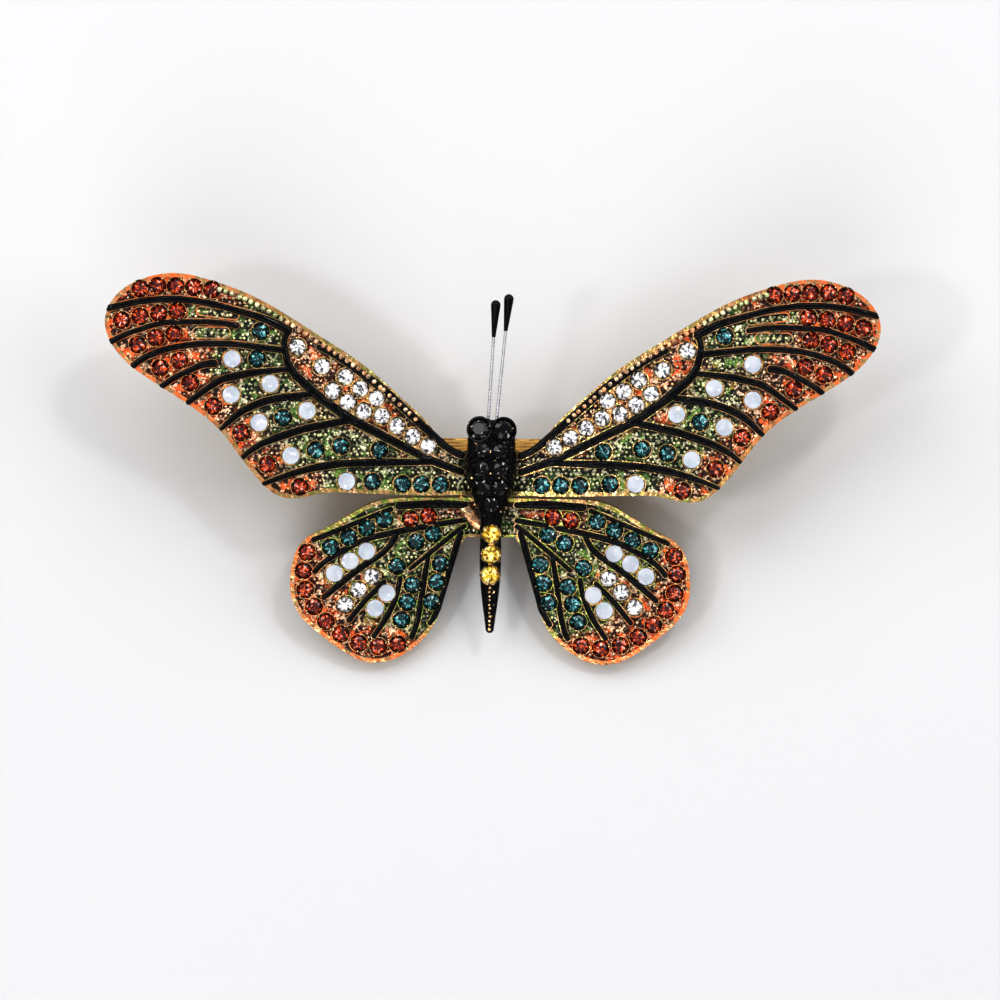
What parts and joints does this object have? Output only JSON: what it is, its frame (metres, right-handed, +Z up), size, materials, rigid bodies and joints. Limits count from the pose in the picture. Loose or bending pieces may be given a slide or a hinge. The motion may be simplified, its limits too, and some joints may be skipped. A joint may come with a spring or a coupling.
{
  "type": "butterfly brooch",
  "caption": "Butterfly-shaped brooch with arched, stone-set and enamelled wings, a stone-set body, two wire antennae and a hinged bar pin with a roll-over catch.",
  "frame": {"origin": "on the surface it lies on, under the middle of its outline", "axes": "+X to the right across the wings as seen from the face, +Y towards the head, +Z up; it lies face up on its hinge, catch and hindwing ends, head raised 9.9 degrees"},
  "size_m": [0.0772, 0.0374, 0.0133],
  "materials": {
    "gilt_casting": "gold-plated cast alloy, beaded and satin, with bright edges",
    "gilt_fittings": "gold-plated sheet and wire",
    "stem_steel": "polished sprung steel wire",
    "antenna_wire": "bright grey wire",
    "black_enamel": "glossy domed enamel",
    "colour_enamel": "translucent orange and green enamel over gold grains",
    "topaz_glass": "faceted foiled glass, deep red-brown with orange sparks",
    "teal_glass": "faceted foiled glass, blue-green",
    "crystal_glass": "faceted foiled glass, clear",
    "opal_glass": "flat milky glass",
    "citrine_glass": "faceted foiled glass, yellow",
    "jet_glass": "faceted black glass"
  },
  "bodies": {
    "brooch": {"abdomen_stones": "citrine_glass", "bar": "gilt_fittings", "body": "gilt_casting", "catch_housing": "gilt_fittings", "eye_stones": "jet_glass", "hinge_bracket": "gilt_fittings", "hinge_rivet": "gilt_fittings", "left_antenna_tip": "black_enamel", "left_antenna_wire": "antenna_wire", "left_forewing": "gilt_casting", "left_forewing_black_enamel": "black_enamel", "left_forewing_colour_enamel": "colour_enamel", "left_forewing_crystal": "crystal_glass", "left_forewing_opal": "opal_glass", "left_forewing_teal": "teal_glass", "left_forewing_topaz": "topaz_glass", "left_hindwing": "gilt_casting", "left_hindwing_black_enamel": "black_enamel", "left_hindwing_colour_enamel": "colour_enamel", "left_hindwing_crystal": "crystal_glass", "left_hindwing_opal": "opal_glass", "left_hindwing_teal": "teal_glass", "left_hindwing_topaz": "topaz_glass", "right_antenna_tip": "black_enamel", "right_antenna_wire": "antenna_wire", "right_forewing": "gilt_casting", "right_forewing_black_enamel": "black_enamel", "right_forewing_colour_enamel": "colour_enamel", "right_forewing_crystal": "crystal_glass", "right_forewing_opal": "opal_glass", "right_forewing_teal": "teal_glass", "right_forewing_topaz": "topaz_glass", "right_hindwing": "gilt_casting", "right_hindwing_black_enamel": "black_enamel", "right_hindwing_colour_enamel": "colour_enamel", "right_hindwing_crystal": "crystal_glass", "right_hindwing_opal": "opal_glass", "right_hindwing_teal": "teal_glass", "right_hindwing_topaz": "topaz_glass", "thorax_stones": "jet_glass"},
    "pin_stem": {"pin_stem": "stem_steel"},
    "catch_barrel": {"catch_barrel": "gilt_fittings"}
  },
  "joints": [
    {"name": "pin_stem_hinge", "type": "hinge", "parent": "brooch", "child": "pin_stem", "pos_m": [-0.014, 0.00195, 0.00151], "axis": [0, 0.985, 0.1724], "range_deg": [0, 90]},
    {"name": "catch_barrel_roll", "type": "hinge", "parent": "brooch", "child": "catch_barrel", "pos_m": [0.0134, 0.00195, 0.00151], "axis": [1, 0, 0], "range_deg": [0, 110]}
  ]
}
